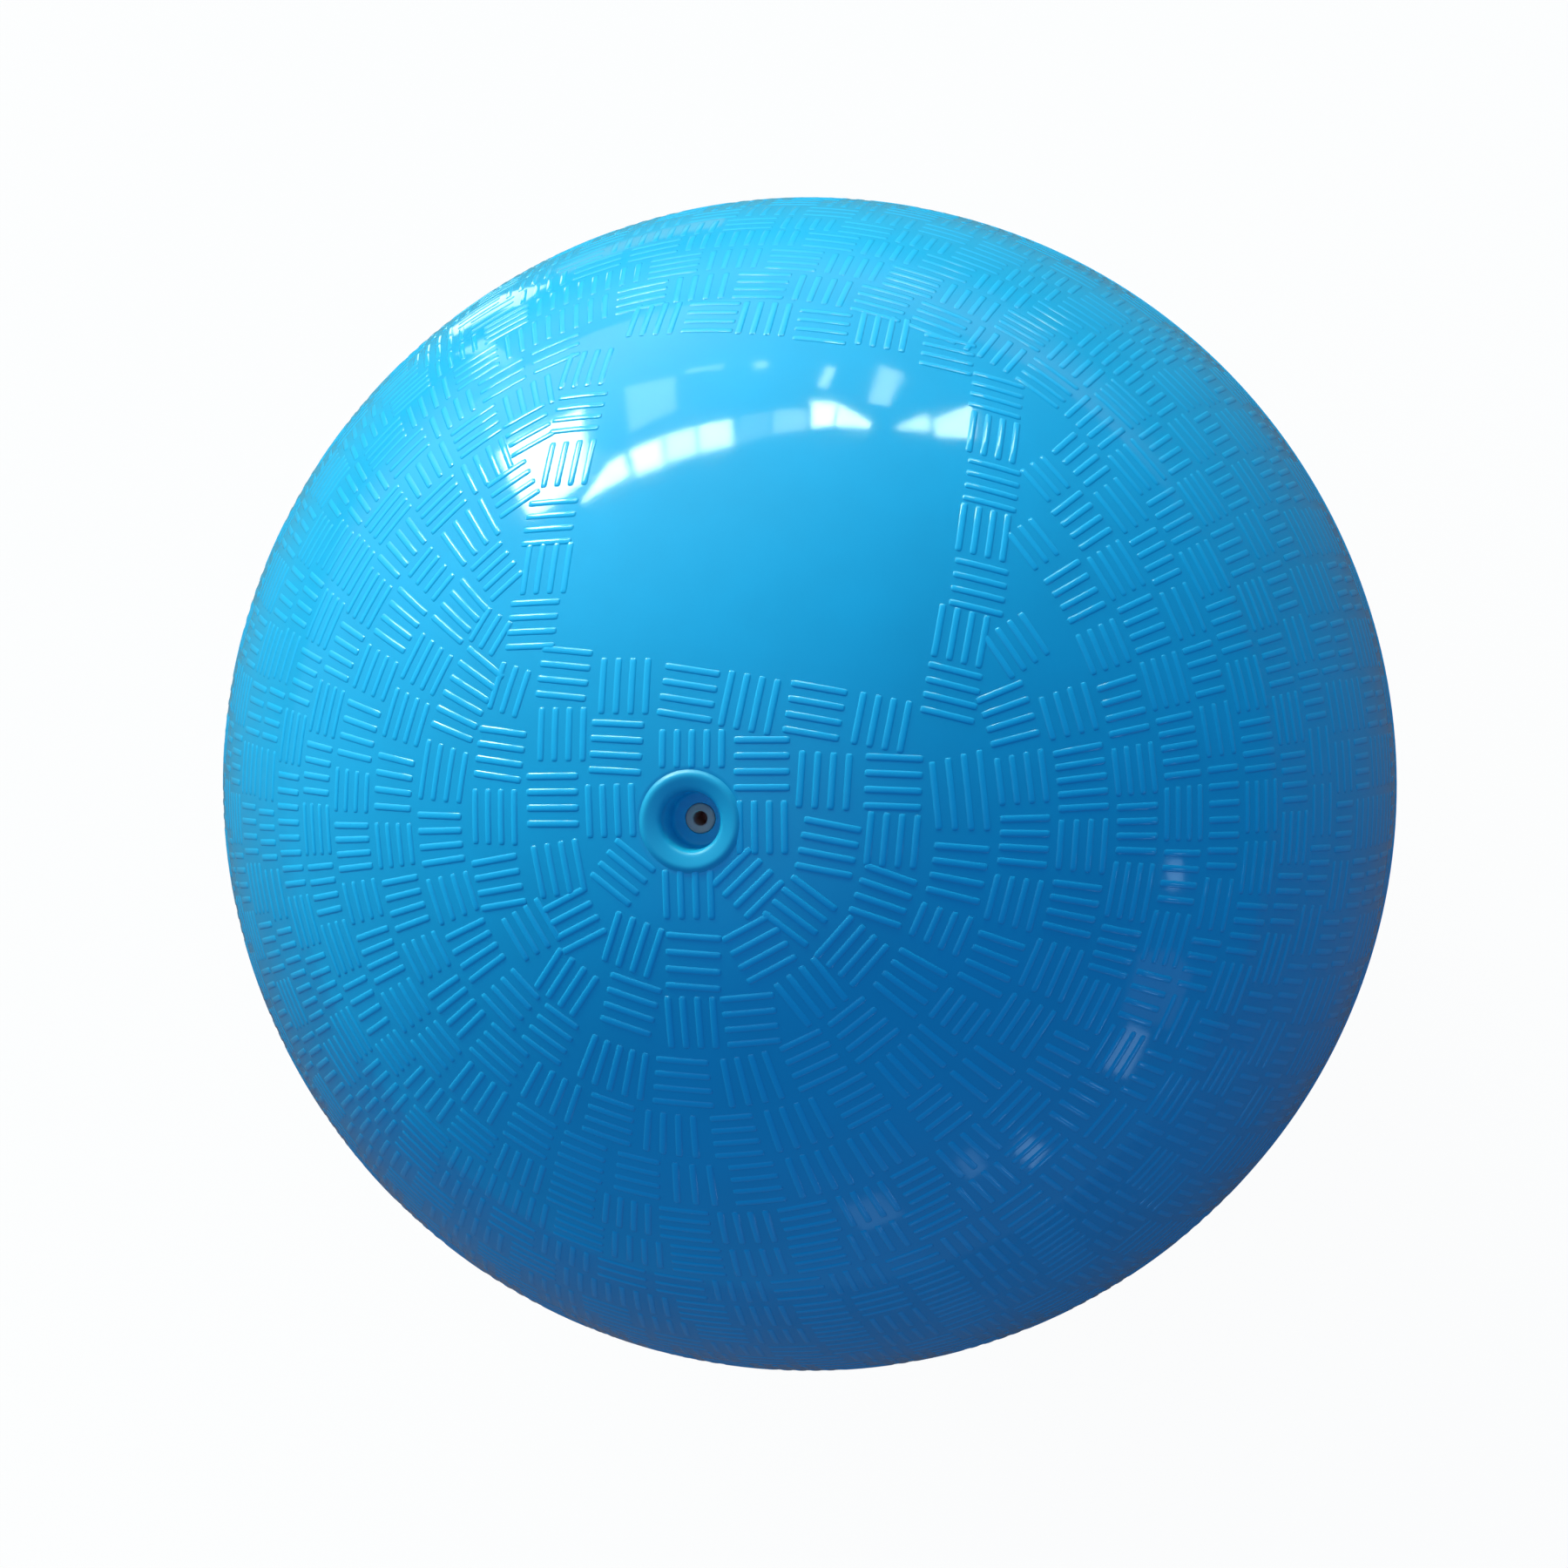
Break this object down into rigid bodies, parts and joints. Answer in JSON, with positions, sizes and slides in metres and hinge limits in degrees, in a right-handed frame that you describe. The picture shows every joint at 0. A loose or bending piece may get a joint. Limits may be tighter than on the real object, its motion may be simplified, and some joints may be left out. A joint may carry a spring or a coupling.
{
  "type": "dodgeball",
  "caption": "Inflatable rubber dodgeball: a glossy cover over a wound carcass and an air bladder, with a recessed self-sealing needle valve.",
  "frame": {"origin": "centre of the ball", "axes": "+Z from the centre to the valve, so the valve is on top; +Y from the valve towards the smooth label panel, up the picture; +X to the picture's right"},
  "size_m": [0.2164, 0.2164, 0.2164],
  "materials": {
    "cover_rubber": "gloss",
    "carcass_rubber": "matte",
    "winding_thread": "matte",
    "bladder_rubber": "satin",
    "patch_rubber": "matte",
    "valve_rubber": "gloss",
    "core_rubber": "satin"
  },
  "bodies": {
    "root": {"cover": "cover_rubber", "backing_ply": "carcass_rubber", "thread_winding": "winding_thread", "bladder": "bladder_rubber", "valve_patch": "patch_rubber", "valve_housing": "valve_rubber", "valve_core": "core_rubber"}
  },
  "joints": []
}
